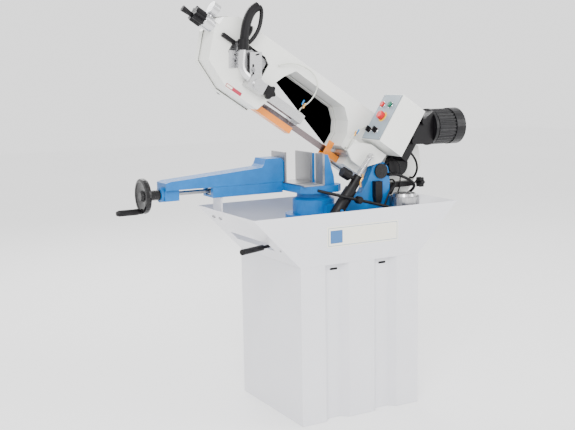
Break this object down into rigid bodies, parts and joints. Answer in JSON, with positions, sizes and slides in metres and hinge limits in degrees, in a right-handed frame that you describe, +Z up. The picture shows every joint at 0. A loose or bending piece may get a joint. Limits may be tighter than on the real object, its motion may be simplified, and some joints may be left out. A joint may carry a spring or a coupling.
{
  "type": "band saw",
  "caption": "Metal-cutting band saw with a swivelling, tilting bow on a sheet-metal base, a screw vice, a feed cylinder, a gear motor and a control box.",
  "frame": {"origin": "centre of the base's bottom face, on the floor", "axes": "+X along the vice towards the motor, +Y from the operator's side to the back, +Z up"},
  "size_m": [1.4953, 0.53, 1.7115],
  "materials": {
    "white_paint": "white powder coat",
    "bow_paint": "warm white gloss paint",
    "blue_paint": "blue gloss paint",
    "black_plastic": "black plastic and black-painted metal",
    "black_metal": "black-painted metal",
    "ground_steel": "ground steel",
    "blade_steel": "dark blade steel",
    "orange_paint": "orange paint",
    "panel_grey": "grey panel paint",
    "red_plastic": "red plastic",
    "green_plastic": "green plastic",
    "clear_tube": "milky clear hose",
    "brass": "brass fittings"
  },
  "bodies": {
    "stand": {"cabinet": "white_paint", "tray": "white_paint", "vice_post": "white_paint", "vice_bed": "blue_paint", "vice_nut": "ground_steel", "pedestal": "blue_paint", "table_casting": "blue_paint", "table_plate": "ground_steel", "fixed_jaw_front": "ground_steel", "fixed_jaw_rear": "ground_steel", "coolant_pump": "ground_steel"},
    "lock_lever": {"lock_lever": "black_metal"},
    "vice_slide": {"vice_slide": "blue_paint", "moving_jaw": "ground_steel"},
    "vice_wheel": {"vice_screw": "ground_steel", "vice_hand_wheel": "black_metal"},
    "vice_grip": {"vice_grip": "black_plastic"},
    "swivel": {"swivel_arm": "blue_paint", "pivot_shaft": "black_metal", "limit_switch": "black_plastic", "stop_bracket": "black_metal", "pump_conduit": "black_plastic", "switch_cable": "black_plastic", "coolant_hose": "black_plastic"},
    "stop_knob": {"stop_knob": "black_plastic"},
    "clamp_bar": {"clamp_bar": "black_metal"},
    "feed_cylinder": {"feed_cylinder": "black_metal"},
    "feed_rod": {"feed_rod": "ground_steel"},
    "feed_knob": {"feed_knob": "black_plastic"},
    "bow": {"bow_frame": "bow_paint", "bracket_plate": "bow_paint", "guard_right": "orange_paint", "guide_block_right": "ground_steel", "gearbox": "black_metal", "motor": "black_metal", "fan_cowl": "black_metal", "control_box": "bow_paint", "control_panel": "panel_grey", "tension_gauge": "ground_steel", "pull_handle": "ground_steel", "handle_grip": "black_plastic", "blade": "blade_steel", "motor_cable": "black_plastic", "coolant_tube_left": "clear_tube", "coolant_tube_right": "clear_tube"},
    "rear_cover": {"rear_cover": "bow_paint"},
    "blade_guide": {"guide_bar": "ground_steel", "guide_block_left": "ground_steel", "guard_left": "orange_paint"},
    "guide_knob": {"guide_knob": "black_plastic"},
    "drive_wheel": {"drive_wheel": "ground_steel"},
    "idler_carriage": {"idler_carriage": "ground_steel"},
    "idler_wheel": {"idler_wheel": "ground_steel"},
    "tension_wheel": {"tension_wheel": "black_plastic"},
    "trigger": {"trigger": "black_plastic"},
    "start_button": {"start_button": "green_plastic"},
    "stop_button": {"stop_button": "red_plastic"},
    "emergency_stop": {"emergency_stop": "red_plastic"},
    "selector_left": {"selector_left": "black_plastic"},
    "selector_right": {"selector_right": "black_plastic"}
  },
  "joints": [
    {"name": "swivel", "type": "hinge", "parent": "stand", "child": "swivel", "pos_m": [-0.07, 0, 0.8], "axis": [0, 0, 1], "range_deg": [0, 25]},
    {"name": "bow_tilt", "type": "hinge", "parent": "swivel", "child": "bow", "pos_m": [0.197, 0, 1.007], "axis": [0, 1, 0], "range_deg": [-32.2, 2]},
    {"name": "lock_lever_turn", "type": "hinge", "parent": "stand", "child": "lock_lever", "pos_m": [-0.07, 0, 0.735], "axis": [0, 0, 1], "range_deg": [-50, 5]},
    {"name": "vice_slide", "type": "slide", "parent": "stand", "child": "vice_slide", "axis": [1, 0, 0], "range_m": [-0.165, 0.08]},
    {"name": "vice_wheel_turn", "type": "hinge", "parent": "vice_slide", "child": "vice_wheel", "pos_m": [-0.75, 0.14, 0.947], "axis": [1, 0, 0], "continuous": true},
    {"name": "vice_grip_turn", "type": "hinge", "parent": "vice_wheel", "child": "vice_grip", "pos_m": [-0.85, 0.14, 0.885], "axis": [1, 0, 0], "continuous": true},
    {"name": "clamp_bar_turn", "type": "hinge", "parent": "swivel", "child": "clamp_bar", "pos_m": [0.036, -0.193, 0.902], "axis": [0, 1, 0], "range_deg": [-25, 25]},
    {"name": "stop_knob_turn", "type": "hinge", "parent": "swivel", "child": "stop_knob", "pos_m": [0.376, -0.099, 0.942], "axis": [1, 0, 0], "range_deg": [-360, 360]},
    {"name": "feed_cylinder_turn", "type": "hinge", "parent": "swivel", "child": "feed_cylinder", "pos_m": [-0.045, -0.159, 0.862], "axis": [0, 1, 0], "range_deg": [-2, 4]},
    {"name": "feed_rod_slide", "type": "slide", "parent": "feed_cylinder", "child": "feed_rod", "axis": [0.607, 0, 0.7947], "range_m": [-0.062, 0.005]},
    {"name": "feed_knob_turn", "type": "hinge", "parent": "feed_cylinder", "child": "feed_knob", "pos_m": [0.01176, -0.159, 1.0014], "axis": [-0.8619, 0, 0.507], "range_deg": [-180, 180]},
    {"name": "cover_hinge", "type": "hinge", "parent": "bow", "child": "rear_cover", "pos_m": [-0.4038, 0.02, 1.63631], "axis": [0.8486, 0, -0.529], "range_deg": [0, 100]},
    {"name": "guide_slide", "type": "slide", "parent": "bow", "child": "blade_guide", "axis": [0.8348, 0, -0.5505], "range_m": [-0.02, 0.12]},
    {"name": "guide_knob_turn", "type": "hinge", "parent": "bow", "child": "guide_knob", "pos_m": [-0.32717, -0.075, 1.35742], "axis": [0, -1, 0], "range_deg": [-180, 180]},
    {"name": "drive_wheel_turn", "type": "hinge", "parent": "bow", "child": "drive_wheel", "pos_m": [0.29691, 0, 1.02772], "axis": [0, 1, 0], "continuous": true},
    {"name": "idler_slide", "type": "slide", "parent": "bow", "child": "idler_carriage", "axis": [-0.8348, 0, 0.5505], "range_m": [-0.008, 0]},
    {"name": "idler_wheel_turn", "type": "hinge", "parent": "idler_carriage", "child": "idler_wheel", "pos_m": [-0.45445, 0, 1.52316], "axis": [0, 1, 0], "continuous": true},
    {"name": "tension_turn", "type": "hinge", "parent": "bow", "child": "tension_wheel", "pos_m": [-0.59026, -0.05, 1.64109], "axis": [0.8348, 0, -0.5505], "range_deg": [0, 1440]},
    {"name": "trigger_pull", "type": "slide", "parent": "bow", "child": "trigger", "axis": [-0.8348, 0, 0.5505], "range_m": [0, 0.004], "stiffness_N_per_m": 400},
    {"name": "stop_button_press", "type": "slide", "parent": "bow", "child": "stop_button", "axis": [0.8348, 0, -0.5505], "range_m": [0, 0.0035], "stiffness_N_per_m": 500},
    {"name": "start_button_press", "type": "slide", "parent": "bow", "child": "start_button", "axis": [0.8348, 0, -0.5505], "range_m": [0, 0.0035], "stiffness_N_per_m": 500},
    {"name": "emergency_stop_press", "type": "slide", "parent": "bow", "child": "emergency_stop", "axis": [0.8348, 0, -0.5505], "range_m": [0, 0.0035], "stiffness_N_per_m": 500},
    {"name": "selector_left_turn", "type": "hinge", "parent": "bow", "child": "selector_left", "pos_m": [0.14953, -0.107, 1.18443], "axis": [0.8348, 0, -0.5505], "range_deg": [-45, 45]},
    {"name": "selector_right_turn", "type": "hinge", "parent": "bow", "child": "selector_right", "pos_m": [0.14953, -0.154, 1.18443], "axis": [0.8348, 0, -0.5505], "range_deg": [-45, 45]}
  ],
  "couplings": [
    {"joint": "feed_cylinder_turn", "follows": "bow_tilt", "ratio": -0.069},
    {"joint": "feed_rod_slide", "follows": "bow_tilt", "m_per_rad": 0.1022},
    {"joint": "idler_wheel_turn", "follows": "drive_wheel_turn", "ratio": 1},
    {"joint": "vice_wheel_turn", "follows": "vice_slide", "rad_per_m": 1256.6},
    {"joint": "tension_turn", "follows": "idler_slide", "rad_per_m": -3141.6}
  ]
}
